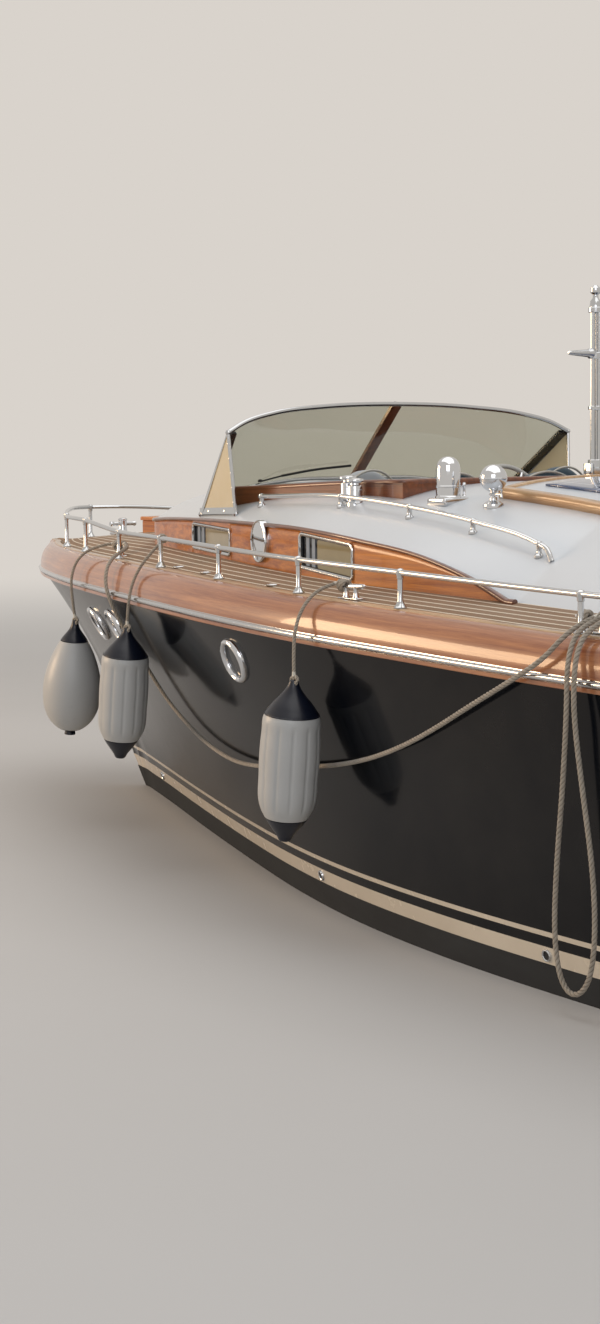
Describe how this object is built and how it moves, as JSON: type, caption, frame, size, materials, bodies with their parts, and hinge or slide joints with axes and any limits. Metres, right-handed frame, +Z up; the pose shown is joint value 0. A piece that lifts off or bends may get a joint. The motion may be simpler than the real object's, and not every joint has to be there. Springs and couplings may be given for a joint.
{
  "type": "classic motor boat",
  "caption": "Classic decked motor boat with a navy hull, varnished mahogany trim, white turtle roof, cockpit, folding mast, rails, hanging fenders and lines",
  "frame": {"origin": "on the centreline at the water level, midway along the boat", "axes": "X forward to the bow, Y to port, Z up"},
  "size_m": [12.02, 3.856, 3.864],
  "materials": {
    "navy_paint": "gloss",
    "bottom_paint": "matt",
    "cream_paint": "gloss",
    "white_paint": "gloss",
    "mahogany": "varnished",
    "light_wood": "varnished",
    "teak": "bleached",
    "stainless": "polished",
    "chrome": "polished",
    "brass": "cast",
    "tinted_glass": "clear",
    "panel_blue": "gloss",
    "seat_fabric": "soft",
    "seat_shell": "gloss",
    "fender_vinyl": "smooth",
    "rope": "twisted"
  },
  "bodies": {
    "boat": {"hull_bottom": "bottom_paint", "boot_stripe": "cream_paint", "hull_sides": "navy_paint", "hull_topsides": "navy_paint", "hull_foredeck": "navy_paint", "cap_rail": "mahogany", "toe_strip": "light_wood", "rub_strip": "stainless", "teak_deck": "teak", "trunk_sides": "mahogany", "window_frames": "stainless", "window_glass": "tinted_glass", "trunk_roof": "white_paint", "trunk_fittings": "chrome", "grab_rails": "stainless", "cockpit_boards": "mahogany", "cockpit_sole": "teak", "bulkhead": "mahogany", "dashboard": "mahogany", "seat_bases": "white_paint", "seat_cushions": "seat_fabric", "windshield_frame": "stainless", "windshield_glass": "tinted_glass", "hull_fittings": "chrome", "porthole_glass": "tinted_glass", "deck_rails": "stainless", "deck_fittings": "chrome", "hatch_frames": "light_wood", "skylight_top": "white_paint", "roof_panel": "panel_blue", "shafts": "stainless", "fender_bow": "fender_vinyl", "fender_middle": "fender_vinyl", "fender_aft": "fender_vinyl", "fender_line_bow": "rope", "fender_line_middle": "rope", "fender_line_aft": "rope", "mooring_line": "rope", "bight_line": "rope"},
    "propeller_port": {"propeller_port": "brass"},
    "cabin_door": {"cabin_door": "mahogany"},
    "fore_hatch_lid": {"fore_hatch_lid": "mahogany"},
    "mast": {"mast": "stainless"},
    "spotlight_head": {"spotlight_head": "chrome"},
    "propeller_starboard": {"propeller_starboard": "brass"},
    "rudder_port": {"rudder_port": "brass"},
    "rudder_starboard": {"rudder_starboard": "brass"},
    "steering_wheel": {"steering_wheel": "seat_shell"}
  },
  "joints": [
    {"name": "propeller_port_turn", "type": "hinge", "parent": "boat", "child": "propeller_port", "pos_m": [-4.9, 0.62, -0.62], "axis": [0.9945, 0, 0.1045], "continuous": true},
    {"name": "propeller_starboard_turn", "type": "hinge", "parent": "boat", "child": "propeller_starboard", "pos_m": [-4.9, -0.62, -0.62], "axis": [0.9945, 0, 0.1045], "continuous": true},
    {"name": "rudder_port_steer", "type": "hinge", "parent": "boat", "child": "rudder_port", "pos_m": [-5.45, 0.62, -0.5], "axis": [0, 0, 1], "range_deg": [-35, 35]},
    {"name": "rudder_starboard_steer", "type": "hinge", "parent": "boat", "child": "rudder_starboard", "pos_m": [-5.45, -0.62, -0.5], "axis": [0, 0, 1], "range_deg": [-35, 35]},
    {"name": "wheel_turn", "type": "hinge", "parent": "boat", "child": "steering_wheel", "pos_m": [2.1, -0.66, 1.79], "axis": [-0.9511, 0, 0.309], "range_deg": [-525, 525]},
    {"name": "spotlight_pan", "type": "hinge", "parent": "boat", "child": "spotlight_head", "pos_m": [0.4, 0.96, 1.93121], "axis": [0, 0, 1], "range_deg": [-170, 170]},
    {"name": "mast_fold", "type": "hinge", "parent": "boat", "child": "mast", "pos_m": [0.75, 0, 2.036], "axis": [0, -1, 0], "range_deg": [0, 85]},
    {"name": "cabin_door_swing", "type": "hinge", "parent": "boat", "child": "cabin_door", "pos_m": [2.44, 0.284, 1.4], "axis": [0, 0, -1], "range_deg": [0, 95]},
    {"name": "fore_hatch_lift", "type": "hinge", "parent": "boat", "child": "fore_hatch_lid", "pos_m": [4.532, 0, 1.72714], "axis": [0, 1, 0], "range_deg": [0, 80]}
  ],
  "couplings": [
    {"joint": "rudder_starboard_steer", "follows": "rudder_port_steer", "ratio": 1},
    {"joint": "wheel_turn", "follows": "rudder_port_steer", "ratio": -15}
  ]
}
